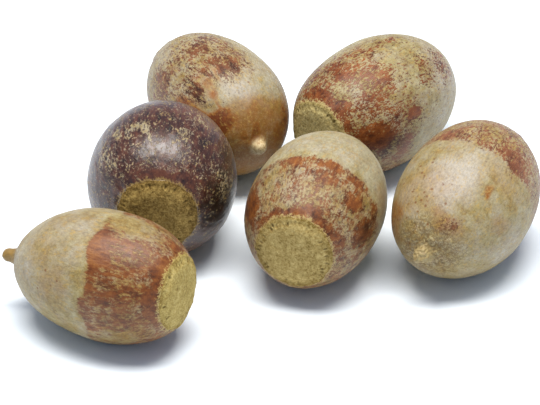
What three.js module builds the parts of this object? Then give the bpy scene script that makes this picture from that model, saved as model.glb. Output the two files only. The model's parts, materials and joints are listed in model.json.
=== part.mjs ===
// Six scarlet oak acorns (Quercus coccinea), out of their cups, lying as a loose group on a table.
//
// An acorn out of its cup is one nut in one skin, so each is one solid and one mesh. Along its own +Z it has
//   - the scar, a shallow corky dome where the cup held it, flat in its middle,
//   - the body, which swells from the scar's rim to the widest ring and closes again towards the apex,
//   - the tip, the short blunt stub that the flower's style leaves.
// The frame has +Z up, +X along the longer side of the group, and its origin on the table under the middle.
// Millimetres and degrees.
import * as THREE from "three";
import { mergeVertices } from "three/addons/utils/BufferGeometryUtils.js";

// Driving dimensions of each nut.
//   at        the table point under the middle of its length
//   heading   the way its tip points, anticlockwise from +X
//   nose      how far its tip is tilted above the level
//   length    from the scar's rim to where the body would close by itself
//   width     across the widest ring
//   widest    that ring's place, as a share of the length from the scar's rim
//   base      fullness of the half by the scar: 2 is an ellipse, and more is fuller
//   apex      fullness of the half by the tip
//   scar      width of the scar
//   tip       how far the tip stands past the length
//   tipWidth  width of the tip
//   lean      how far the apex has grown off the axis, [up, left] as the nut lies
const ACORNS = [
  {
    name: "front_left_acorn",
    at: [-17.8, -13.3], heading: 153, nose: -2.8,
    length: 18.8, width: 13.6, widest: 0.44, base: 2.25, apex: 1.87,
    scar: 8.0, tip: 1.9, tipWidth: 1.7, lean: [-0.1, 0.3],
    colour: 0xa98a5c, roughness: 0.62,
  },
  {
    name: "middle_left_acorn",
    at: [-11.5, 4.2], heading: 87, nose: -1.1,
    length: 17.0, width: 16.0, widest: 0.435, base: 2.3, apex: 1.95,
    scar: 8.6, tip: 1.3, tipWidth: 1.5, lean: [0.1, 0.3],
    colour: 0x4f2f26, roughness: 0.42,
  },
  {
    name: "back_left_acorn",
    at: [-5.5, 20.0], heading: -62, nose: -0.2,
    length: 18.9, width: 14.0, widest: 0.53, base: 2.35, apex: 2.05,
    scar: 8.6, tip: 1.2, tipWidth: 1.6, lean: [0.1, -0.25],
    colour: 0x9b7b52, roughness: 0.55,
  },
  {
    name: "back_right_acorn",
    at: [12.3, 20.6], heading: 46, nose: -0.3,
    length: 20.0, width: 14.5, widest: 0.475, base: 2.3, apex: 2.0,
    scar: 8.0, tip: 1.3, tipWidth: 1.5, lean: [0.0, 0.1],
    colour: 0x96643c, roughness: 0.58,
  },
  {
    name: "centre_acorn",
    at: [5.2, -0.5], heading: 74, nose: -0.6,
    length: 19.8, width: 14.4, widest: 0.47, base: 2.28, apex: 1.97,
    scar: 8.4, tip: 1.3, tipWidth: 1.5, lean: [0.0, -0.1],
    colour: 0x9c6a42, roughness: 0.6,
  },
  {
    name: "front_right_acorn",
    at: [20.6, -0.9], heading: -114, nose: -4.8,
    length: 19.0, width: 14.7, widest: 0.47, base: 2.3, apex: 1.95,
    scar: 8.6, tip: 1.4, tipWidth: 2.0, lean: [0.1, -0.7],
    colour: 0xb39b6e, roughness: 0.65,
  },
];

const SIDES = 36; // flat sides round a nut
const BODY_STEPS = 9; // rings in each half of the body
const SCAR_RISE = 0.15; // height of the scar's dome, as a share of its radius
const SCAR_FLAT = 0.34; // radius of the dome's flat middle, as a share of the scar's radius
const SCAR_STEPS = 3; // rings between the flat middle and the rim
const RIM = 0.18; // distance either side of the rim at which a ring keeps it crisp
const TIP_FLARE = 1.35; // radius at which the body turns up into the tip, as a share of the tip's
const TIP_STEPS = 3; // rings in the tip's flare and in its round end
const REST_DEPTH = 0.2; // how far a nut's underside is flattened where it rests
const QUARTER_TURN = Math.PI / 2;

// The scar's dome, from its middle out to just inside the rim, as [radius, height] pairs.
function scarOutline({ scar }) {
  const rim = scar / 2;
  const rise = SCAR_RISE * rim;
  const flat = SCAR_FLAT * rim;
  const points = [[0, -rise]];
  for (let i = 0; i <= SCAR_STEPS; i++) {
    const out = (i / SCAR_STEPS) * (rim - RIM - flat);
    const share = out / (rim - flat);
    points.push([flat + out, -rise * (1 - share * share)]);
  }
  return points;
}

// The body from the rim to where the tip begins: two halves, nearly ellipses, that meet at the widest ring.
function bodyOutline({ length, width, widest, base, apex, scar, tipWidth }) {
  const full = width / 2;
  const middle = widest * length;
  const radiusAt = (share, roundness) => full * Math.sqrt(1 - share ** roundness);
  const shareAt = (radius, roundness) => (1 - (radius / full) ** 2) ** (1 / roundness);

  const atRim = shareAt(scar / 2, base);
  const atTip = shareAt((TIP_FLARE * tipWidth) / 2, apex);
  const lastAngle = Math.asin(atTip);
  const points = [];
  for (let i = 0; i < BODY_STEPS; i++) {
    const share = atRim * (1 - i / BODY_STEPS);
    points.push([radiusAt(share, base), middle * (1 - share / atRim)]);
    if (i === 0) {
      const beyond = atRim * (1 - RIM / middle);
      points.push([radiusAt(beyond, base), RIM]);
    }
  }
  for (let i = 0; i <= BODY_STEPS; i++) {
    const share = Math.sin((i / BODY_STEPS) * lastAngle);
    points.push([radiusAt(share, apex), middle + (length - middle) * share]);
  }
  return points;
}

// The tip, from a hollow flare out of the body to its round end. start is the body's last point.
function tipOutline({ length, tip, tipWidth }, start) {
  const radius = tipWidth / 2;
  const end = length + tip;
  const shoulder = end - radius;
  const flare = new THREE.QuadraticBezierCurve(
    new THREE.Vector2(start[0], start[1]),
    new THREE.Vector2(radius, start[1] + (shoulder - start[1]) * 0.35),
    new THREE.Vector2(radius * 0.92, shoulder),
  );
  const points = flare
    .getPoints(TIP_STEPS)
    .slice(1)
    .map((p) => [p.x, p.y]);
  for (let i = 1; i <= TIP_STEPS; i++) {
    const angle = (i / TIP_STEPS) * QUARTER_TURN;
    points.push([radius * 0.92 * Math.cos(angle), shoulder + radius * Math.sin(angle)]);
  }
  points[points.length - 1][0] = 0;
  return points;
}

// A nut in its own frame: +Z from scar to tip, and +X the side that lies uppermost.
function acornGeometry(acorn) {
  const body = bodyOutline(acorn);
  const outline = [...scarOutline(acorn), ...body, ...tipOutline(acorn, body.at(-1))];
  const points = outline.map(([radius, height]) => new THREE.Vector2(radius, height));
  const lathe = new THREE.LatheGeometry(points, SIDES).rotateX(QUARTER_TURN);
  lathe.deleteAttribute("normal");
  lathe.deleteAttribute("uv");
  const geometry = mergeVertices(lathe, 1e-4);

  // The apex leans off the axis, more and more beyond the widest ring.
  const position = geometry.getAttribute("position");
  const middle = acorn.widest * acorn.length;
  const [up, left] = acorn.lean;
  for (let i = 0; i < position.count; i++) {
    const share = Math.max(0, (position.getZ(i) - middle) / (acorn.length - middle)) ** 2;
    position.setX(i, position.getX(i) + up * share);
    position.setY(i, position.getY(i) - left * share);
  }
  return geometry;
}

// Lays a nut on the table, flattened a little where it touches.
function layDown(mesh, { at, heading, nose, length }) {
  const rad = THREE.MathUtils.degToRad;
  const turn = new THREE.Euler(0, QUARTER_TURN - rad(nose), rad(heading), "ZYX");
  mesh.quaternion.setFromEuler(turn);
  mesh.rotateZ(Math.PI);
  const middle = new THREE.Vector3(0, 0, length / 2).applyQuaternion(mesh.quaternion);
  mesh.position.set(at[0] - middle.x, at[1] - middle.y, 0);
  mesh.updateMatrixWorld();

  const underside = new THREE.Box3().setFromObject(mesh, true).min.z;
  mesh.position.z = -underside - REST_DEPTH;
  mesh.updateMatrixWorld();

  const position = mesh.geometry.getAttribute("position");
  const point = new THREE.Vector3();
  for (let i = 0; i < position.count; i++) {
    mesh.localToWorld(point.fromBufferAttribute(position, i));
    if (point.z < 0) {
      mesh.worldToLocal(point.setZ(0));
      position.setXYZ(i, point.x, point.y, point.z);
    }
  }
  mesh.geometry.computeVertexNormals();
}

function acornMesh(acorn) {
  const material = new THREE.MeshStandardMaterial({
    color: acorn.colour,
    roughness: acorn.roughness,
    metalness: 0,
  });
  const mesh = new THREE.Mesh(acornGeometry(acorn), material);
  mesh.name = acorn.name;
  layDown(mesh, acorn);
  return mesh;
}

const acorns = new THREE.Group();
for (const acorn of ACORNS) acorns.add(acornMesh(acorn));

// The origin goes on the table under the middle of the group.
const middle = new THREE.Box3().setFromObject(acorns, true).getCenter(new THREE.Vector3());
acorns.position.set(-middle.x, -middle.y, 0);

const part = new THREE.Group();
part.add(acorns);

export default part;
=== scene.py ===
"""Six ripe scarlet oak acorns, out of their cups, lying on a white table.

Each acorn is one piece with three finishes that grew together: the hard chestnut-brown shell, the thin tan
down that covers it until handling or the cup rubs it off, and the corky scar where the cup held the nut.
The scene's unit is the metre, and the nuts' own sizes below are in millimetres and degrees.
"""

import json
import math

import bpy
import numpy as np
from mathutils import Matrix, Vector


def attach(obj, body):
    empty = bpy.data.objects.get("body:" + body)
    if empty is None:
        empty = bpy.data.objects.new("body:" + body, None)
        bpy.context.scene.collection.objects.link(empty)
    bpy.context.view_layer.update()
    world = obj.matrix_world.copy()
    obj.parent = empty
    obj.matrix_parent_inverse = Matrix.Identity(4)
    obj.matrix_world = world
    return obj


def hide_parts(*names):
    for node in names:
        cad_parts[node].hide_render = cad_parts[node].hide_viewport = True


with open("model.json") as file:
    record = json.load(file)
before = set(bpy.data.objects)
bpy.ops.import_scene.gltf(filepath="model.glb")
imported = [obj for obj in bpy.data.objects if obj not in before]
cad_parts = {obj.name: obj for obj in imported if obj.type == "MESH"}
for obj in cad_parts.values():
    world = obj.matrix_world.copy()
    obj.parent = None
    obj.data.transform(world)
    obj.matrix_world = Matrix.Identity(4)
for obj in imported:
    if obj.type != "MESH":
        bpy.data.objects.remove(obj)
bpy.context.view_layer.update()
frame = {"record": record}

MM = 0.001

# Shape of each nut, as in the CAD model.
#   length    from the scar's rim to where the body would close by itself
#   width     across the widest ring, and widest is that ring's place as a share of the length
#   base      fullness of the half by the scar: 2 is an ellipse, and more is fuller
#   apex      fullness of the half by the tip
#   scar      width of the scar
#   tip       how far the tip stands past the length, and tip_width is its width
#   lean      how far the apex has grown off the axis, (up, left)
# Finish of each nut. Places on it are (along, around): mm along its axis from the scar's rim towards the
# tip, and degrees from the side that lies uppermost, clockwise as seen from the scar.
#   cup_line  how far from the rim the cup once covered it
#   ragged    how unevenly the down ends there, and fade is half the width of its thinning out, both in mm
#   down      share of down left on the part that the cup covered
#   fleck     width in mm of the flecks that it is worn to, and soft is how gently they fade at their edges
#   grain     how strongly the flecks break up into grains
#   thin      how well the down hides the shell where it is thinnest
#   gloss     roughness of the bare shell, and shine is how much light it mirrors
#   craggy    how rough the skin is about the tip, and ribs is how high its lengthwise ribs stand, in mm
#   bloom_and_highlight  spots of grey waxy bloom on the down, in the form of the patches below. Where they
#   sit
#             on the uppermost side, they are partly a painted highlight.
#   patches   spots of more (+) or less (-) down: (along, around, length, width, amount)
#   stains    amber tannin stains, in the same form
#   shades    darker (+) or redder and lighter (-) spots of bare shell, in the same form, where the down over
#             them is more (+) or less (-) ochre too. The wide one over back_left's tip is partly painted
#             shade.
#   freckles  where small brown dots are common, in the same form
#   bare      shell colours, from dark to light
#   coat      down colours, from ochre to cream
#   cork      scar colours, from dark to light
#   collar    colour of the rough ring about the tip, and stub is the tip's own colour, which on back_left is
#             partly a painted highlight
NUTS = {
    "front_left_acorn": {
        "length": 18.8, "width": 13.6, "widest": 0.44, "base": 2.25, "apex": 1.87,
        "scar": 8.0, "tip": 1.9, "tip_width": 1.7, "lean": (-0.1, 0.3),
        "seed": 11, "cup_line": 7.8, "ragged": 0.5, "fade": 0.5,
        "down": 0.42, "fleck": 0.34, "grain": 1.2, "soft": 0.22,
        "thin": 0.66, "gloss": 0.4, "shine": 0.42, "craggy": 0.04, "ribs": 0.012,
        "bloom_and_highlight": [(16.2, -70, 4.0, 8.0, 0.35), (11.5, -22, 6.0, 5.0, 0.25), (12.5, 10, 8.0, 6.0, 0.2)],
        "patches": [
            (6.9, -32, 2.6, 4.0, -0.6), (3.2, -28, 3.6, 4.5, -0.1), (0.4, -40, 1.2, 16, -0.4),
            (5.5, 8, 6.0, 4.0, 0.5), (4.5, -125, 6.0, 3.6, 0.3), (4.0, -68, 6.0, 3.0, -0.15),
            (6.0, -155, 5.0, 5.0, 0.2), (3.0, 60, 6.0, 6.0, 0.15),
        ],
        "stains": [(11.5, -75, 4.0, 5.0, 0.4), (13.5, -45, 3.0, 4.0, 0.25), (9.0, -45, 2.0, 3.0, 0.2)],
        "shades": [(3.5, -68, 5.0, 3.6, 0.15), (6.9, -32, 2.4, 4.0, -0.2), (0.6, -70, 1.4, 9.0, 0.1)],
        "freckles": [(13.0, -75, 5.0, 5.0, 0.35)],
        "bare": ("4c260c", "713c14", "925c28"),
        "coat": ("80662c", "93824e", "a5996b"),
        "cork": ("826b35", "b09958", "c6b174"),
        "collar": "6e5428",
        "stub": "8c6c32",
    },
    "middle_left_acorn": {
        "length": 17.0, "width": 16.0, "widest": 0.435, "base": 2.3, "apex": 1.95,
        "scar": 8.6, "tip": 1.3, "tip_width": 1.5, "lean": (0.1, 0.3),
        "seed": 23, "cup_line": 15.5, "ragged": 1.2, "fade": 1.0,
        "down": 0.2, "fleck": 0.22, "grain": 3.0, "soft": 0.14,
        "thin": 0.9, "gloss": 0.3, "shine": 0.75, "craggy": 0.04, "ribs": 0.036,
        "bloom_and_highlight": [],
        "patches": [
            (5.0, -9, 2.8, 1.0, 0.55), (6.0, -17, 1.8, 1.4, 0.45), (5.2, -26, 1.8, 1.0, 0.35),
            (5.6, -37, 2.2, 1.0, 0.4), (4.6, 18, 1.4, 2.0, 0.3), (4.0, -52, 4.0, 3.0, 0.2),
            (0.2, 20, 0.8, 14, -0.3), (4.0, 78, 3.5, 3.0, 0.2), (4.0, 100, 4.0, 4.0, -0.2),
            (9.5, 30, 4.0, 9.0, 0.08),
        ],
        "stains": [(11.0, 45, 3.0, 5.0, 0.5)],
        "shades": [(0.5, 15, 1.6, 14, -0.22), (2.5, 90, 5.0, 7.0, 0.45), (9.5, 30, 5.0, 8.0, -0.3)],
        "freckles": [],
        "bare": ("1b0b04", "3e1c0d", "60331c"),
        "coat": ("7c6a40", "94855d", "a59871"),
        "cork": ("5a431c", "8f743d", "b99c5a"),
        "collar": "5a3c20",
        "stub": "a98548",
    },
    "back_left_acorn": {
        "length": 18.9, "width": 14.0, "widest": 0.53, "base": 2.35, "apex": 2.05,
        "scar": 8.6, "tip": 1.2, "tip_width": 1.6, "lean": (0.1, -0.25),
        "seed": 37, "cup_line": 13.8, "ragged": 0.5, "fade": 1.2,
        "down": 0.55, "fleck": 0.3, "grain": 2.8, "soft": 0.18,
        "thin": 0.88, "gloss": 0.38, "shine": 0.38, "craggy": 0.02, "ribs": 0.012,
        # The first bloom spot, on the uppermost side, is partly a painted highlight.
        "bloom_and_highlight": [(15.2, 2, 4.0, 6.0, 0.45), (12.0, -20, 5.0, 4.0, 0.2)],
        "patches": [
            (2.0, 30, 5.0, 14, 0.25), (8.0, -40, 16, 5.0, 0.6), (7.0, 14, 2.8, 3.0, -0.3),
            (7.2, 60, 3.0, 3.0, -0.3), (12.2, 6, 5.0, 3.0, -0.28), (13.6, 43, 5.0, 1.6, -0.35),
            (12.5, 25, 4.0, 2.0, -0.2), (12.3, 19, 3.4, 0.9, 0.5), (13.6, 33, 6.0, 0.9, 0.5),
            (16.8, 48, 2.6, 4.8, 0.5), (9.0, 33, 3.0, 5.0, 0.1), (13.6, 57, 5.0, 1.2, -0.2),
            (15.6, 8, 2.0, 4.0, -0.15), (16.5, -80, 4.0, 6.0, -0.3),
        ],
        "stains": [
            (12.3, 19, 3.4, 0.8, 0.9), (13.6, 33, 6.0, 0.9, 1.0), (16.8, 48, 2.6, 4.8, 1.9),
            (18.6, 0, 5.0, 120, 0.8), (16.0, -82, 5.0, 7.0, 0.8), (14.0, 57, 6.0, 1.8, 1.3),
            (19.0, 30, 1.0, 8.0, 1.6),
        ],
        "shades": [
            (12.4, 5, 5.0, 1.6, 0.1), (13.8, 43, 6.0, 1.0, 0.3), (16.8, 48, 2.4, 4.5, 0.2),
            # Painted shade over the tip third, which turns away from the light, as well as its own darker
            # ochre.
            (18.6, 0, 5.0, 120, 0.7),
        ],
        "freckles": [(13.5, -20, 4.0, 6.0, 0.2), (17.0, -10, 4.0, 40, 0.1)],
        "bare": ("3a1d0e", "6c3e20", "915a30"),
        "coat": ("896e37", "9c8e66", "afa585"),
        "cork": ("7a6230", "ab9254", "c8b071"),
        "collar": "855518",
        # The pale cream of this tip is partly a painted highlight on its lit cone.
        "stub": "cdb98c",
    },
    "back_right_acorn": {
        "length": 20.0, "width": 14.5, "widest": 0.475, "base": 2.3, "apex": 2.0,
        "scar": 8.0, "tip": 1.3, "tip_width": 1.5, "lean": (0.0, 0.1),
        "seed": 41, "cup_line": 8.6, "ragged": 1.2, "fade": 2.2,
        "down": 0.5, "fleck": 0.27, "grain": 3.6, "soft": 0.08,
        "thin": 0.9, "gloss": 0.38, "shine": 0.38, "craggy": 0.04, "ribs": 0.012,
        "bloom_and_highlight": [(15.5, 50, 6.0, 9.0, 0.5), (12.0, 95, 8.0, 5.0, 0.25)],
        "patches": [
            (0.5, 10, 1.2, 14, -0.4), (3.7, -5, 1.8, 4.0, -0.3), (6.0, 25, 3.6, 3.6, -0.2),
            (3.6, 48, 3.0, 3.0, -0.15), (3.2, 82, 4.0, 4.0, -0.5), (8.4, 72, 3.0, 1.2, -0.7),
            (2.2, 18, 1.4, 5.0, 0.15), (5.8, 27, 1.2, 1.0, 0.3), (8.0, -35, 8.0, 4.0, 0.35),
            (12.0, 42, 2.4, 4.5, -0.4), (15.3, 45, 3.0, 6.0, -0.45), (13.0, 40, 10.0, 16, -0.2),
            (12.0, -4, 4.0, 1.0, -0.4), (6.5, 100, 3.0, 3.0, -0.3),
        ],
        "stains": [(5.8, 27, 1.4, 1.2, 0.6), (3.6, 78, 1.6, 1.4, 0.4)],
        "shades": [(4.0, 92, 5.0, 4.0, 0.25), (14.0, 40, 6.0, 8.0, 0.1), (5.5, 15, 4.0, 6.0, -0.15)],
        "freckles": [(12.0, 45, 8.0, 8.0, 0.2)],
        "bare": ("3e1906", "743b14", "965826"),
        "coat": ("816b37", "988a5c", "ada37a"),
        # A lighter cork than the others', partly painted light, as this scar lies in its neighbours' shadow.
        "cork": ("84713f", "baa66c", "d0c086"),
        "collar": "6e5428",
        "stub": "a98548",
    },
    "centre_acorn": {
        "length": 19.8, "width": 14.4, "widest": 0.47, "base": 2.28, "apex": 1.97,
        "scar": 8.4, "tip": 1.3, "tip_width": 1.5, "lean": (0.0, -0.1),
        "seed": 53, "cup_line": 7.9, "ragged": 0.5, "fade": 0.5,
        "down": 0.52, "fleck": 0.32, "grain": 1.8, "soft": 0.2,
        "thin": 0.6, "gloss": 0.4, "shine": 0.42, "craggy": 0.04, "ribs": 0.012,
        # This bloom spot, on the uppermost side, is partly a painted highlight.
        "bloom_and_highlight": [(11.0, 0, 5.0, 14, 0.2)],
        "patches": [
            (0.5, 10, 1.2, 18, -0.45), (4.8, 16, 2.0, 2.8, -0.3), (4.6, 50, 2.4, 2.4, -0.3),
            (6.9, -14, 1.6, 2.4, -0.4), (6.8, 19, 1.6, 2.2, -0.35), (6.9, 42, 1.6, 2.4, -0.35),
            (7.2, 76, 1.8, 2.2, -0.4), (4.2, 80, 4.0, 3.0, -0.3), (3.4, -65, 4.0, 3.4, -0.5),
            (4.5, -35, 4.0, 3.0, 0.15), (2.3, 12, 1.6, 3.6, 0.1),
        ],
        "stains": [(10.0, 78, 4.0, 4.0, 0.5)],
        "shades": [(0.5, 20, 1.2, 16, 0.08), (4.5, 80, 5.0, 3.6, 0.2), (6.8, 5, 1.8, 6.0, -0.2)],
        "freckles": [(9.5, 20, 3.0, 12, 0.15)],
        "bare": ("3e1c07", "703b12", "935a24"),
        "coat": ("8e7a40", "a1966a", "b2aa85"),
        "cork": ("78602c", "a58d54", "c0a96e"),
        "collar": "6e5428",
        "stub": "a98548",
    },
    "front_right_acorn": {
        "length": 19.0, "width": 14.7, "widest": 0.47, "base": 2.3, "apex": 1.95,
        "scar": 8.6, "tip": 1.4, "tip_width": 2.0, "lean": (0.1, -0.7),
        "seed": 67, "cup_line": 8.3, "ragged": 0.4, "fade": 0.5,
        "down": 0.54, "fleck": 0.27, "grain": 2.8, "soft": 0.16,
        "thin": 0.9, "gloss": 0.42, "shine": 0.38, "craggy": 0.16, "ribs": 0.012,
        # The first bloom spot, on the uppermost side, is partly a painted highlight.
        "bloom_and_highlight": [(13.6, -4, 6.0, 7.0, 0.8), (9.6, -18, 4.0, 4.0, 0.35), (12.5, -105, 5.0, 5.0, 0.4)],
        "patches": [
            (7.4, -45, 3.2, 4.2, -0.4), (6.8, 22, 3.0, 4.6, -0.25), (5.6, -15, 4.0, 2.6, 0.1),
            (8.9, -48, 1.2, 2.6, -0.3), (17.6, -31, 1.3, 4.6, -0.6), (16.8, -44, 1.0, 2.4, -0.4),
        ],
        "stains": [
            (10.5, -45, 3.0, 6.0, 0.3), (13.2, -40, 1.8, 0.9, 1.3), (13.6, -70, 2.0, 2.4, 0.5),
            (16.2, 78, 3.4, 7.0, 0.9), (17.3, -30, 1.8, 8.0, 0.6), (15.0, 30, 5.0, 13, 0.35),
        ],
        "shades": [(7.5, -45, 3.0, 4.0, 0.1), (17.5, -33, 1.6, 5.0, 0.15)],
        "freckles": [(14.5, 35, 6.0, 8.0, 0.6), (13.0, -40, 5.0, 9.0, 0.15), (17.0, 0, 3.0, 40, 0.25)],
        "bare": ("4a2614", "7b482a", "9c6a44"),
        "coat": ("856730", "968556", "a3966c"),
        "cork": ("7a6230", "ab9254", "c8b071"),
        "collar": "6c5026",
        "stub": "9e8a5c",
    },
}

# Random patterns of the shell: what they are laid out by, lump width in mm, how many times longer the lump
# is lengthwise, detail and roughness. FLECKS is the last three for the flecks, whose width is the nut's own.
# The down's real hairs are finer than grit, which is as coarse as it needs to be to show.
SHELL_PATTERNS = {
    "rubbed": ("place", 1.3, 1, 4, 0.65),
    "grit": ("grain", 0.2, 1.7, 4, 0.8),
    "streak": ("grain", 0.45, 6, 5, 0.65),
    "mottle": ("place", 1.1, 1, 5, 0.7),
    "wash": ("place", 2.5, 1, 5, 0.65),
    "tint": ("place", 1.5, 1, 6, 0.8),
}
FLECKS = (2.6, 5, 0.75)
# Random patterns of the cork: lump width in mm, and detail. They share one roughness. Real pores are finer
# than pore, which is as coarse as it needs to be to show.
CORK_PATTERNS = {"grain": (0.35, 4), "patch": (1.4, 4), "pore": (0.16, 2)}
CORK_ROUGHNESS = 0.7
# How much each pattern counts in a colour.
WEAR_SHARES = {"rubbed": 1.1, "fleck": 2.2}
BARE_SHARES = {"streak": 1.7, "mottle": 1.3, "grit": 0.9}
DOWN_SHARES = {"tint": 2.4, "mottle": 1.2, "grit": 0.5}
CORK_SHARES = {"grain": 1.5, "patch": 1.3, "pore": 1.8}
# Colours that all six nuts share.
# The grey of the waxy bloom, which on the uppermost sides stands for a painted highlight too.
GREY_BLOOM_AND_HIGHLIGHT = "aaa08f"
OCHRE_GRAIN = "ae8d48"
TANNIN = ("97703a", "8e561c", "6a330e") # from thin to thick
FRECKLE = "74451f"
# The holes' darker cork, with painted shade in them.
HOLE_CORK_AND_SHADE = "4a3518" # in the vessel holes

# Random relief of the skin, in layers: height, lump width in mm, how many times longer the lump is
# lengthwise, and the layer's own number. Heights are in mm, but those of RIBS, CRAGS and RAGS are shares of
# the nut's own.
LUMPS = [(0.09, 6, 1, 0), (0.03, 2.3, 1, 1)]
RIBS = [(1, 0.75, 10, 2), (0.65, 0.35, 10 / 3, 3)]
PUCKER = [(0.05, 0.6, 2.5, 4)]
CRAGS = [(1, 0.55, 1, 5), (0.6, 0.24, 1, 10)]
CORK_GRIT = [(0.045, 0.8, 1, 6), (0.03, 0.38, 1, 8), (0.018, 0.19, 1, 9)]
RAGS = [(1, 2.6, 1, 20), (0.6, 0.9, 1, 21)] # of the down's edge
RIM_WAVES = [(0.12, 1.5, 1, 24), (0.08, 0.45, 1, 25)]
# How far each thing reaches, in mm.
PUCKER_REACH = 1.3 # from the scar's rim
RIM_REACH = 0.7 # from the scar's rim
CRUMB_REACH = 0.65 # from the scar's rim, over the shell
CRAG_REACH = 1.6 # from the apex
COLLAR_REACH = (2.2, 0.5) # short of the apex, where it starts and where it is whole
TIP_REACH = (0.2, -0.3) # short of the apex, where the tip's own colour starts and where it is whole
WANDER = 0.7 # by which a mark's edge strays
WANDER_LUMP = 1.5 # width of each stray
WANDER_NUMBERS = (22, 23) # the own numbers of its two layers, along and around

SECTORS = 320 # points round a nut
RING_GAP = 0.13 # mm between rings on the body
SCAR_GAP = 0.08 # mm between rings on the scar
TIP_GAP = 0.07 # mm between rings on the tip
SCAR_RISE = 0.15 # height of the scar's dome, as a share of its radius
SCAR_FLAT = 0.34 # radius of the dome's flat middle, as a share of the scar's radius
LIP = 0.03 # mm that the scar's lip stands up, and that the gutter inside it goes down
HOLE_RING = 0.86 # radius of the ring of vessel holes, as a share of the scar's radius
HOLE_GAP = 0.44 # mm between the holes
HOLE_WIDTH = 0.13 # half of a hole's width in mm
HOLE_LENGTH = 0.26 # half of its length towards the middle in mm
HOLE_DEPTH = 0.16 # mm
HOLE_NUMBER = 7 # their own number among the random things
TIP_FLARE = 1.7 # radius at which the body turns up into the tip, as a share of the tip's
TIP_WAIST = 0.92 # radius of the tip below its round end, as a share of the tip's
TIP_BEND = 0.35 # how far up towards the round end the flare bends most
FULL_DOWN = 1.1 # cover where the cup never reached
FRECKLE_GAP = 0.62 # mm between the places where a freckle may be
NOISE_CELLS = 32 # the random lattice repeats after this many cells


def linear(code):
    """An sRGB hex colour as linear red, green, blue and alpha."""
    parts = [int(code[i : i + 2], 16) / 255 for i in (0, 2, 4)]
    return (*[p / 12.92 if p <= 0.04045 else ((p + 0.055) / 1.055) ** 2.4 for p in parts], 1)


def clouds(points, size, seed):
    """Smooth random values from -1 to 1 at points, with lumps about size across."""
    table = np.random.default_rng(seed).uniform(-1, 1, (NOISE_CELLS,) * 3)
    cells = np.asarray(points) / size
    low = np.floor(cells).astype(int)
    part = cells - low
    part = part * part * (3 - 2 * part)
    total = np.zeros(cells.shape[:-1])
    for corner in np.ndindex(2, 2, 2):
        x, y, z = np.moveaxis((low + corner) % NOISE_CELLS, -1, 0)
        weight = np.prod(np.where(np.array(corner) == 1, part, 1 - part), axis=-1)
        total += weight * table[x, y, z]
    return total


def layers(points, listed, seed):
    """Layers of random lumps, added up."""
    total = np.zeros(points.shape[:-1])
    for height, width, stretch, number in listed:
        total += height * clouds(points / (1, 1, stretch), width, seed + number)
    return total


def smooth(low, high, value):
    """0 at low, 1 at high, an even S between them, and level beyond."""
    t = np.clip((value - low) / (high - low), 0, 1)
    return t * t * (3 - 2 * t)


# Shape

def resample(line, gap):
    """Points about gap apart along a line of [radius, height] points, with both ends kept."""
    steps = np.linalg.norm(np.diff(line, axis=0), axis=1)
    walked = np.concatenate([[0], np.cumsum(steps)])
    count = max(2, round(walked[-1] / gap))
    places = np.linspace(0, walked[-1], count + 1)
    return np.stack([np.interp(places, walked, line[:, i]) for i in (0, 1)], axis=1)


def scar_line(nut):
    """The scar's dome, from its middle to its rim."""
    rim = nut["scar"] / 2
    out = np.linspace(0, 1, 200)
    share = np.clip((out - SCAR_FLAT) / (1 - SCAR_FLAT), 0, 1)
    return np.stack([rim * out, -SCAR_RISE * rim * (1 - share**3)], axis=1)


def body_line(nut):
    """The body, from the scar's rim to where the tip begins."""
    full = nut["width"] / 2
    middle = nut["widest"] * nut["length"]
    at_rim = (1 - (nut["scar"] / 2 / full) ** 2) ** (1 / nut["base"])
    at_tip = (1 - (TIP_FLARE * nut["tip_width"] / 2 / full) ** 2) ** (1 / nut["apex"])
    low = at_rim * np.linspace(1, 0, 300)[:-1]
    high = np.sin(np.linspace(0, math.asin(at_tip), 300))
    low_half = [full * np.sqrt(1 - low ** nut["base"]), middle * (1 - low / at_rim)]
    high_half = [full * np.sqrt(1 - high ** nut["apex"]), middle + (nut["length"] - middle) * high]
    return np.concatenate([low_half, high_half], axis=1).T


def tip_line(nut, start):
    """The tip, from a hollow flare out of the body to its round end."""
    radius = nut["tip_width"] / 2
    shoulder = nut["length"] + nut["tip"] - radius
    bend = np.array([radius, start[1] + (shoulder - start[1]) * TIP_BEND])
    waist = np.array([radius * TIP_WAIST, shoulder])
    t = np.linspace(0, 1, 60)[:, None]
    flare = (1 - t) ** 2 * start + 2 * t * (1 - t) * bend + t**2 * waist
    angle = np.linspace(0, math.pi / 2, 60)[1:]
    end = np.stack([waist[0] * np.cos(angle), shoulder + radius * np.sin(angle)], axis=1)
    return np.concatenate([flare, end])


def rings(nut):
    """Every ring's radius and height, and which ring is the scar's rim."""
    scar = resample(scar_line(nut), SCAR_GAP)[1:]
    body = resample(body_line(nut), RING_GAP)
    tip = resample(tip_line(nut, body[-1]), TIP_GAP)
    line = np.concatenate([scar, body[1:], tip[1:-1]])
    return line[:, 0], line[:, 1], len(scar) - 1


def spots(nut, along, around, listed):
    """How strongly the listed spots reach each point. Each fades from its amount in the middle to 0."""
    total = np.zeros_like(along)
    girth = nut["width"] / 2
    for middle, angle, length, width, amount in listed:
        turn = np.degrees(around) - angle
        turn = np.radians((turn + 180) % 360 - 180)
        reach = ((along - middle) / (length / 2)) ** 2 + (turn * girth / (width / 2)) ** 2
        total += amount * smooth(1.7, 0.1, reach)
    return total


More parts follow.
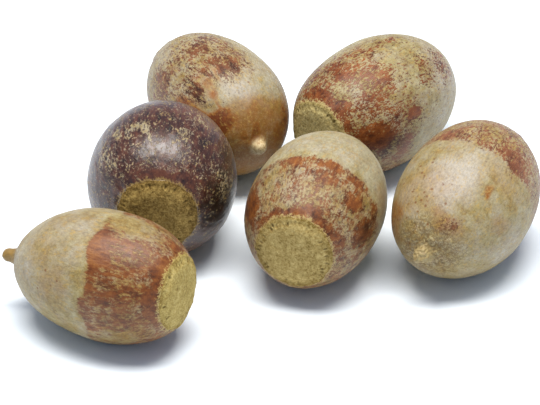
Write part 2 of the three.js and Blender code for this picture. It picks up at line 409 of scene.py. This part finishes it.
def pits(nut, out, around):
    """The ring of small holes inside the scar's rim, where the cup's vessels ran: 1 in the deepest one."""
    rng = np.random.default_rng(nut["seed"] + HOLE_NUMBER)
    rim = nut["scar"] / 2
    girth = 2 * math.pi
    count = round(girth * HOLE_RING * rim / HOLE_GAP)
    place = (around % girth) / girth * count
    own = place.astype(int) % count
    middle = 0.5 + rng.uniform(-0.2, 0.2, count)
    radius = HOLE_RING + rng.uniform(-0.045, 0.05, count)
    depth = rng.uniform(0, 1, count) ** 2.5 # a few deep ones among many faint ones
    across = (place - np.floor(place) - middle[own]) * girth / count * out * rim
    inward = (out - radius[own]) * rim
    reach = (across / HOLE_WIDTH) ** 2 + (inward / HOLE_LENGTH) ** 2
    return depth[own] * np.clip(1.2 - reach, 0, 1)


def relief(nut, at):
    """How far the skin stands out of the smooth outline at each point, in mm."""
    seed = nut["seed"]
    lumps = layers(at["place"], LUMPS, seed)
    ribs = nut["ribs"] * layers(at["grain"], RIBS, seed)
    pucker = layers(at["grain"], PUCKER, seed) * smooth(PUCKER_REACH, 0, np.abs(at["along"]))
    apex = smooth(nut["length"] - CRAG_REACH, nut["length"], at["place"][..., 2])
    crags = apex * nut["craggy"] * layers(at["place"], CRAGS, seed)
    body = lumps + ribs + pucker + crags

    out = at["out"]
    grit = layers(at["place"], CORK_GRIT, seed) * smooth(1.0, 0.93, out)
    lip = LIP * smooth(0.87, 0.95, out) * smooth(1.02, 0.96, out)
    gutter = -LIP * smooth(0.74, 0.84, out) * smooth(0.95, 0.87, out)
    scar = lumps * smooth(0.9, 1, out) + grit + lip + gutter - HOLE_DEPTH * at["hole"]
    return np.where(at["along"] < 0, scar, body)


def skin(nut):
    """The skin's points in the nut's own frame, ring by ring, what is known at each, and the rim's ring.

    The frame has +X to the side that lies uppermost and +Z from the scar's rim to the tip. Known are:
      - around, its angle, and along, the way to it over the skin from the rim in mm, less than 0 on the scar
      - out, how far it lies from the scar's middle, as a share of the way to the rim
      - place, where it is on the smooth outline, and grain, the same with along for its height
      - hole, how deeply a vessel hole takes it in.
    """
    radius, height, rim_ring = rings(nut)
    rim = nut["scar"] / 2
    steps = np.hypot(np.diff(radius), np.diff(height))
    walked = np.concatenate([[0], np.cumsum(steps)])
    angles = 2 * math.pi * np.arange(SECTORS) / SECTORS
    around = np.tile(angles, (len(radius), 1))
    along = np.tile((walked - walked[rim_ring])[:, None], (1, SECTORS))
    out = np.tile(radius[:, None], (1, SECTORS)) / rim
    out[rim_ring + 1 :] = 1

    # The rim isn't quite round, and the apex leans off the axis.
    on_rim = np.stack([rim * np.cos(around), rim * np.sin(around), 0 * around], axis=-1)
    waves = layers(on_rim, RIM_WAVES, nut["seed"])
    reach = radius[:, None] + waves * np.exp(-((along / RIM_REACH) ** 2))
    middle = nut["widest"] * nut["length"]
    share = np.clip((height - middle) / (nut["length"] - middle), 0, None)[:, None] ** 2
    x = reach * np.cos(around) + nut["lean"][0] * share
    y = reach * np.sin(around) - nut["lean"][1] * share
    z = np.tile(height[:, None], (1, SECTORS))

    at = {"around": around, "along": along, "out": out}
    at["place"] = np.stack([x, y, z], axis=-1)
    at["grain"] = np.stack([x, y, along], axis=-1)
    at["hole"] = np.where(along < 0, pits(nut, out, around), 0)

    slope = np.gradient(at["place"], axis=0)
    across = np.roll(at["place"], -1, axis=1) - np.roll(at["place"], 1, axis=1)
    normal = np.cross(across, slope)
    normal /= np.linalg.norm(normal, axis=-1, keepdims=True)
    return at["place"] + normal * relief(nut, at)[..., None], at, rim_ring


def stand(nut, name):
    """How the nut's own frame lies on the table, from the mount on its scar."""
    mounts = {m["name"]: m for m in frame["record"]["mounts"]}
    mount = mounts[name.replace("_acorn", "_scar")]
    along = -Vector(mount["axis"]).normalized()
    up = (Vector((0, 0, 1)) - along * along.z).normalized()
    right = along.cross(up)
    rise = SCAR_RISE * nut["scar"] / 2 * MM
    turn = Matrix((up, right, along)).transposed().to_4x4()
    return Matrix.Translation(Vector(mount["pos_m"]) + along * rise) @ turn


def closed_mesh(name, nut, points, rim_ring):
    """One closed mesh over the rings, with a point more at each end, laid where the CAD nut lies."""
    ends = [[0, 0, points[0, :, 2].mean()], [*points[-1, :, :2].mean(0), nut["length"] + nut["tip"]]]
    verts = np.concatenate([points.reshape(-1, 3), ends]) * MM
    world = np.array(stand(nut, name))
    verts = verts @ world[:3, :3].T + world[:3, 3]
    verts[:, 2] = np.maximum(verts[:, 2], 0) # flat where the nut's weight rests on the table

    ring, sector = np.meshgrid(np.arange(len(points) - 1), np.arange(SECTORS), indexing="ij")
    here = ring * SECTORS + sector
    beside = ring * SECTORS + (sector + 1) % SECTORS
    quads = np.stack([here, beside, beside + SECTORS, here + SECTORS], axis=-1).reshape(-1, 4)
    pole = len(points) * SECTORS
    last = pole - SECTORS
    first_fan = [(pole, (s + 1) % SECTORS, s) for s in range(SECTORS)]
    last_fan = [(pole + 1, last + s, last + (s + 1) % SECTORS) for s in range(SECTORS)]

    mesh = bpy.data.meshes.new(name + "_skin")
    mesh.from_pydata(verts.tolist(), [], quads.tolist() + first_fan + last_fan)
    on_scar = [*(ring < rim_ring).reshape(-1), *[True] * SECTORS, *[False] * SECTORS]
    mesh.polygons.foreach_set("material_index", np.array(on_scar, dtype=np.int32))
    mesh.shade_smooth()
    return mesh


def finish_marks(nut, at):
    """What the finish needs to know at each point: where the cup sat, the nut's spots, and the ends."""
    z = at["place"][..., 2]
    ragged = nut["ragged"] * layers(at["grain"] * (1, 1, 0), RAGS, nut["seed"])
    past_cup = smooth(-nut["fade"], nut["fade"], z + ragged - nut["cup_line"])
    cover = FULL_DOWN * past_cup + (1 - past_cup) * nut["down"]
    stray = [WANDER * clouds(at["grain"], WANDER_LUMP, nut["seed"] + number) for number in WANDER_NUMBERS]
    place = (z + stray[0], at["around"] + stray[1] / (nut["width"] / 2))
    collar_edge = [nut["length"] - reach for reach in COLLAR_REACH]
    tip_edge = [nut["length"] - reach for reach in TIP_REACH]
    return {
        "cover": cover + spots(nut, *place, nut["patches"]),
        "bloom_and_highlight": spots(nut, *place, nut["bloom_and_highlight"]),
        "stain": spots(nut, *place, nut["stains"]),
        "shade": spots(nut, *place, nut["shades"]),
        "freckle": spots(nut, *place, nut["freckles"]),
        "collar": smooth(*collar_edge, z),
        "crumbs": smooth(CRUMB_REACH, 0, at["along"]),
        "hole": at["hole"],
        "out": at["out"],
        "tip": smooth(*tip_edge, z),
    }


def acorn(name, nut):
    """The fine mesh of one acorn, which keeps what its finish needs to know at each point."""
    points, at, rim_ring = skin(nut)
    mesh = closed_mesh(name, nut, points, rim_ring)
    for key, value in finish_marks(nut, at).items():
        layer = mesh.attributes.new(key, "FLOAT", "POINT")
        ends = [value[0].mean(), value[-1].mean()]
        layer.data.foreach_set("value", np.concatenate([value.reshape(-1), ends]).astype(np.float32))
    for key in ("grain", "place"):
        layer = mesh.attributes.new(key, "FLOAT_VECTOR", "POINT")
        ends = [at[key][0].mean(0), at[key][-1].mean(0)]
        flat = np.concatenate([at[key].reshape(-1, 3), ends]).astype(np.float32)
        layer.data.foreach_set("vector", flat.reshape(-1))
    piece = bpy.data.objects.new(name + "_piece", mesh)
    bpy.context.scene.collection.objects.link(piece)
    return piece


# Finish

def add(tree, kind, sockets=None, stops=(), **settings):
    """Adds a node with its settings and links. A socket takes a value, an output or a node's first output.

    The stops of a colour ramp run from low to high.
    """
    made = tree.nodes.new(kind)
    for key, value in settings.items():
        setattr(made, key, value)
    for key, value in (sockets or {}).items():
        if isinstance(value, bpy.types.Node):
            value = value.outputs[0]
        if isinstance(value, bpy.types.NodeSocket):
            tree.links.new(value, made.inputs[key])
        else:
            made.inputs[key].default_value = value
    if stops:
        ramp = made.color_ramp.elements
        ramp[0].position = stops[0][0]
        ramp[1].position = stops[-1][0]
        for place, _ in stops[1:-1]:
            ramp.new(place)
        for element, (_, colour) in zip(ramp, stops):
            element.color = linear(colour)
    return made


def finish(name, shader_values):
    """A new material, its nodes and its shader, which holds the values that are the same all over."""
    material = bpy.data.materials.new(name)
    material.use_nodes = True
    tree = material.node_tree
    shader = tree.nodes["Principled BSDF"]
    for key, value in shader_values.items():
        shader.inputs[key].default_value = value
    return material, tree, shader


def downy_shell(name, nut):
    """Acorn shell: lignin-brown, burnished by the cup so that it shines, under a thin felt of tan down.

    The bare shell runs from dark chestnut to orange-brown in fine lengthwise streaks. The down is dull and
    pale, stays whole on the tip half, and is worn to ragged flecks where the cup sat.
    """
    values = {"IOR": 1.48, "Specular IOR Level": nut["shine"], "Sheen Weight": 0.02, "Sheen Roughness": 0.35}
    material, tree, shader = finish(name, values)
    seen = {}
    for key in ("cover", "bloom_and_highlight", "stain", "shade", "freckle", "collar", "tip", "crumbs"):
        seen[key] = add(tree, "ShaderNodeAttribute", attribute_name=key).outputs["Fac"]
    for key in ("grain", "place"):
        seen[key] = add(tree, "ShaderNodeAttribute", attribute_name=key).outputs["Vector"]

    pattern = {}
    listed = {**SHELL_PATTERNS, "fleck": ("grain", nut["fleck"], *FLECKS)}
    for turn, (key, (layout, size, stretch, detail, roughness)) in enumerate(listed.items()):
        sockets = {0: seen[layout], 1: (1, 1, 1 / stretch)}
        laid = add(tree, "ShaderNodeVectorMath", sockets, operation="MULTIPLY")
        sockets = {
            "Vector": laid, "W": nut["seed"] + 0.1 * turn, "Scale": 1 / size,
            "Detail": detail, "Roughness": roughness,
        }
        pattern[key] = add(tree, "ShaderNodeTexNoise", sockets, noise_dimensions="4D")

    # Where down is left: the cover, worn unevenly in patches, flecks and grains.
    shares = {**WEAR_SHARES, "grit": nut["grain"]}
    worn = seen["cover"]
    for key, share in shares.items():
        worn = add(tree, "ShaderNodeMath", {0: pattern[key], 1: share, 2: worn}, operation="MULTIPLY_ADD")
    level = 0.5 + sum(shares.values()) / 2
    sockets = {"Value": worn, "From Min": level - nut["soft"], "From Max": level + nut["soft"]}
    coat = add(tree, "ShaderNodeMapRange", sockets, interpolation_type="SMOOTHSTEP")

    # Thin down lets the brown of the shell through.
    sockets = {0: pattern["wash"], 1: 1.6, 2: seen["cover"]}
    thick = add(tree, "ShaderNodeMath", sockets, operation="MULTIPLY_ADD")
    sockets = {"Value": thick, "From Min": 0.9, "From Max": 2.1, "To Min": nut["thin"], "To Max": 0.98}
    hiding = add(tree, "ShaderNodeMapRange", sockets)
    veil = add(tree, "ShaderNodeMath", {0: coat, 1: hiding}, operation="MULTIPLY")

    # Bare shell, darker and lighter in streaks.
    tone = add(tree, "ShaderNodeMath", {0: -1.45, 1: seen["shade"]}, operation="SUBTRACT")
    for key, share in BARE_SHARES.items():
        tone = add(tree, "ShaderNodeMath", {0: pattern[key], 1: share, 2: tone}, operation="MULTIPLY_ADD")
    dark, middle, light = nut["bare"]
    bare = add(tree, "ShaderNodeValToRGB", {"Fac": tone}, [(0.1, dark), (0.5, middle), (0.95, light)])

    # Down, ochre where it is short and cream where it is long, in soft patches and in its fine grain.
    tone = add(tree, "ShaderNodeMath", {0: seen["cover"], 1: 0.3, 2: -1.87}, operation="MULTIPLY_ADD")
    # Shade spots make the down more ochre too; over back_left's tip third this is partly painted shade.
    tone = add(tree, "ShaderNodeMath", {0: seen["shade"], 1: -0.6, 2: tone}, operation="MULTIPLY_ADD")
    for key, share in DOWN_SHARES.items():
        tone = add(tree, "ShaderNodeMath", {0: pattern[key], 1: share, 2: tone}, operation="MULTIPLY_ADD")
    ochre, tan, cream = nut["coat"]
    felt = add(tree, "ShaderNodeValToRGB", {"Fac": tone}, [(0.1, ochre), (0.5, tan), (0.9, cream)])

    # Grey waxy bloom on the down, at random and in the nut's spots, and a painted highlight where those
    # spots sit on the uppermost side.
    sockets = {"Value": pattern["wash"], "From Min": 0.42, "From Max": 0.62, "To Max": 0.5}
    film_and_highlight = add(tree, "ShaderNodeMapRange", sockets)
    film_and_highlight = add(tree, "ShaderNodeMath", {0: film_and_highlight, 1: seen["bloom_and_highlight"]}, operation="ADD")
    felt = add(tree, "ShaderNodeMix", {0: film_and_highlight, 6: felt, 7: linear(GREY_BLOOM_AND_HIGHLIGHT)}, data_type="RGBA")

    # Tannin stains in the down, golden where they are thin and rust-brown where they are thick.
    sockets = {"Value": pattern["mottle"], "From Min": 0.35, "From Max": 0.6, "To Min": 0.4, "To Max": 1.0}
    strength = add(tree, "ShaderNodeMapRange", sockets)
    strength = add(tree, "ShaderNodeMath", {0: strength, 1: seen["stain"]}, operation="MULTIPLY")
    tone = add(tree, "ShaderNodeMath", {0: strength, 1: 0.55}, operation="MULTIPLY")
    amber = add(tree, "ShaderNodeValToRGB", {"Fac": tone}, list(zip((0.0, 0.5, 1.0), TANNIN)))
    felt = add(tree, "ShaderNodeMix", {0: strength, 6: felt.outputs[2], 7: amber}, data_type="RGBA")

    # Ochre grains in the down, and the fine light and shade between its hairs.
    sockets = {"Value": pattern["fleck"], "From Min": 0.52, "From Max": 0.62, "To Max": 0.65}
    grains = add(tree, "ShaderNodeMapRange", sockets)
    sockets = {0: grains, 6: felt.outputs[2], 7: linear(OCHRE_GRAIN)}
    felt = add(tree, "ShaderNodeMix", sockets, data_type="RGBA")
    sockets = {"Value": pattern["grit"], "From Min": 0.3, "From Max": 0.6, "To Min": 0.62, "To Max": 1.1}
    specks_and_hair_shade = add(tree, "ShaderNodeMapRange", sockets)
    sockets = {0: 1.0, 6: felt.outputs[2], 7: specks_and_hair_shade}
    felt = add(tree, "ShaderNodeMix", sockets, data_type="RGBA", blend_type="MULTIPLY")
    skin_colour = add(tree, "ShaderNodeMix", {0: veil, 6: bare, 7: felt.outputs[2]}, data_type="RGBA")

    # The rough brown collar about the tip.
    sockets = {"Value": pattern["grit"], "From Min": 0.6, "From Max": 0.42, "To Max": 0.75}
    share = add(tree, "ShaderNodeMapRange", sockets, interpolation_type="SMOOTHSTEP")
    share = add(tree, "ShaderNodeMath", {0: share, 1: seen["collar"]}, operation="MULTIPLY")
    sockets = {0: share, 6: skin_colour.outputs[2], 7: linear(nut["collar"])}
    skin_colour = add(tree, "ShaderNodeMix", sockets, data_type="RGBA")

    # Crumbs of cork cling to the shell beside the scar.
    sockets = {0: seen["crumbs"], 1: 0.17, 2: pattern["grit"]}
    loose = add(tree, "ShaderNodeMath", sockets, operation="MULTIPLY_ADD")
    sockets = {"Value": loose, "From Min": 0.6, "From Max": 0.66, "To Max": 0.9}
    share = add(tree, "ShaderNodeMapRange", sockets)
    near = add(tree, "ShaderNodeMath", {0: seen["crumbs"], 1: 3.0}, operation="MULTIPLY", use_clamp=True)
    share = add(tree, "ShaderNodeMath", {0: share, 1: near}, operation="MULTIPLY")
    # The crumbs take the down's dark specks and its painted fine shade too.
    sockets = {0: 1.0, 6: linear(nut["cork"][1]), 7: specks_and_hair_shade}
    crumb = add(tree, "ShaderNodeMix", sockets, data_type="RGBA", blend_type="MULTIPLY")
    sockets = {0: share, 6: skin_colour.outputs[2], 7: crumb.outputs[2]}
    skin_colour = add(tree, "ShaderNodeMix", sockets, data_type="RGBA")

    # Freckles: round dots in some of the cells of a scatter.
    scatter = add(tree, "ShaderNodeTexVoronoi", {"Vector": seen["place"], "Scale": 1 / FRECKLE_GAP})
    sockets = {"Value": scatter.outputs["Distance"], "From Min": 0.33, "From Max": 0.12, "To Max": 0.8}
    dot = add(tree, "ShaderNodeMapRange", sockets, interpolation_type="SMOOTHSTEP")
    sockets = {0: scatter.outputs["Color"], 1: seen["freckle"]}
    chosen = add(tree, "ShaderNodeMath", sockets, operation="LESS_THAN")
    share = add(tree, "ShaderNodeMath", {0: dot, 1: chosen}, operation="MULTIPLY")
    sockets = {0: share, 6: skin_colour.outputs[2], 7: linear(FRECKLE)}
    skin_colour = add(tree, "ShaderNodeMix", sockets, data_type="RGBA")

    # The tip's own colour, in grains. On back_left its pale cream is partly a painted highlight.
    sockets = {"Value": pattern["grit"], "From Min": 0.4, "From Max": 0.55, "To Min": 0.25, "To Max": 0.95}
    share = add(tree, "ShaderNodeMapRange", sockets)
    share = add(tree, "ShaderNodeMath", {0: share, 1: seen["tip"]}, operation="MULTIPLY")
    sockets = {0: share, 6: skin_colour.outputs[2], 7: linear(nut["stub"])}
    skin_colour = add(tree, "ShaderNodeMix", sockets, data_type="RGBA")
    tree.links.new(skin_colour.outputs[2], shader.inputs["Base Color"])

    # Down is duller than bare shell, and both are dull and glossy in spots.
    gloss = add(tree, "ShaderNodeMix", {0: coat, 2: nut["gloss"], 3: 0.5})
    rough = add(tree, "ShaderNodeMath", {0: pattern["mottle"], 1: 0.16, 2: gloss}, operation="MULTIPLY_ADD")
    rough = add(tree, "ShaderNodeMath", {0: rough, 1: 0.08}, operation="SUBTRACT")
    tree.links.new(rough.outputs[0], shader.inputs["Roughness"])

    # The down stands proud of the shell, which is finely streaked.
    height = add(tree, "ShaderNodeMath", {0: coat, 1: 0.4, 2: pattern["grit"]}, operation="MULTIPLY_ADD")
    height = add(tree, "ShaderNodeMath", {0: pattern["streak"], 1: 1.2, 2: height}, operation="MULTIPLY_ADD")
    bump = add(tree, "ShaderNodeBump", {"Strength": 0.6, "Distance": 0.04 * MM, "Height": height})
    tree.links.new(bump.outputs[0], shader.inputs["Normal"])
    return material


def corky_scar(name, nut):
    """The scar: bare cork, granular and quite matt, straw to olive, with dark holes that are partly painted
    shade, and shadowed pores.
    """
    material, tree, shader = finish(name, {"IOR": 1.4, "Specular IOR Level": 0.25, "Roughness": 0.85})
    place = add(tree, "ShaderNodeAttribute", attribute_name="place").outputs["Vector"]
    hole = add(tree, "ShaderNodeAttribute", attribute_name="hole").outputs["Fac"]
    out = add(tree, "ShaderNodeAttribute", attribute_name="out").outputs["Fac"]

    pattern = {}
    for turn, (key, (size, detail)) in enumerate(CORK_PATTERNS.items()):
        sockets = {
            "Vector": place, "W": nut["seed"] + 0.1 * turn, "Scale": 1 / size,
            "Detail": detail, "Roughness": CORK_ROUGHNESS,
        }
        pattern[key] = add(tree, "ShaderNodeTexNoise", sockets, noise_dimensions="4D")

    # Cork is darker towards its rim.
    sockets = {"Value": out, "From Min": 0.85, "From Max": 1.0, "To Min": -1.8, "To Max": -2.15}
    tone = add(tree, "ShaderNodeMapRange", sockets)
    for key, share in CORK_SHARES.items():
        tone = add(tree, "ShaderNodeMath", {0: pattern[key], 1: share, 2: tone}, operation="MULTIPLY_ADD")
    dark, middle, light = nut["cork"]
    cork = add(tree, "ShaderNodeValToRGB", {"Fac": tone}, [(0.0, dark), (0.5, middle), (1.0, light)])
    # The holes grow darker with their depth: partly their own darker cork, partly painted shade.
    deep = add(tree, "ShaderNodeMath", {0: hole, 1: 0.5}, operation="MULTIPLY")
    holed = add(tree, "ShaderNodeMix", {0: deep, 6: cork, 7: linear(HOLE_CORK_AND_SHADE)}, data_type="RGBA")
    tree.links.new(holed.outputs[2], shader.inputs["Base Color"])

    height = add(tree, "ShaderNodeMath", {0: pattern["grain"], 1: pattern["pore"]}, operation="ADD")
    bump = add(tree, "ShaderNodeBump", {"Strength": 0.8, "Distance": 0.08 * MM, "Height": height})
    tree.links.new(bump.outputs[0], shader.inputs["Normal"])
    return material


for name, nut in NUTS.items():
    piece = acorn(name, nut)
    stem = name.replace("_acorn", "")
    piece.data.materials.append(downy_shell(stem + "_downy_shell", nut))
    piece.data.materials.append(corky_scar(stem + "_corky_scar", nut))
    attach(piece, "root")
    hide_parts(name)


# Table, light and camera

def table():
    """A wide matt white table, a hair below the nuts."""
    mesh = bpy.data.meshes.new("table_top")
    reach = 3.0
    corners = [(-reach, -reach, 0), (reach, -reach, 0), (reach, reach, 0), (-reach, reach, 0)]
    mesh.from_pydata(corners, [], [(0, 1, 2, 3)])
    top = bpy.data.objects.new("table_top", mesh)
    top.location.z = -0.02 * MM
    bpy.context.scene.collection.objects.link(top)
    material, _, _ = finish("matt_white_board", {"Base Color": linear("edf4fb"), "Roughness": 0.9})
    mesh.materials.append(material)


def soft_box(name, place, size, power):
    """A soft light of a width and depth, which faces the middle of the group."""
    light = bpy.data.lights.new(name, "AREA")
    light.shape = "RECTANGLE"
    light.size, light.size_y = size
    light.energy = power
    light.color = linear("fffcf6")[:3]
    lamp = bpy.data.objects.new(name, light)
    lamp.location = place
    lamp.rotation_euler = (-Vector(place)).to_track_quat("-Z", "Y").to_euler()
    bpy.context.scene.collection.objects.link(lamp)


def studio():
    """One soft light overhead, in a pale blue-white tent that lightens the shadows."""
    world = bpy.data.worlds.new("white_tent")
    bpy.context.scene.world = world
    world.use_nodes = True
    background = world.node_tree.nodes["Background"]
    background.inputs["Color"].default_value = linear("d0e2ff")
    background.inputs["Strength"].default_value = 0.45
    soft_box("overhead_soft_box", place=(0, 0, 1.0), size=(0.85, 0.4), power=17)
    bpy.context.scene.view_settings.view_transform = "Standard"


def camera():
    """A long lens, a little over 32 degrees above the table."""
    elevation = math.radians(32.25)
    distance = 0.37
    aim = Vector((-0.46, -4.42, 6.8)) * MM
    back = Vector((0, -math.cos(elevation), math.sin(elevation)))
    lens = bpy.data.cameras.new("camera")
    lens.sensor_width = 36
    lens.lens = 231.2
    lens.clip_start = 0.01
    eye = bpy.data.objects.new("camera", lens)
    eye.location = aim + back * distance
    eye.rotation_euler = (-back).to_track_quat("-Z", "Y").to_euler()
    bpy.context.scene.collection.objects.link(eye)
    bpy.context.scene.camera = eye


table()
studio()
camera()
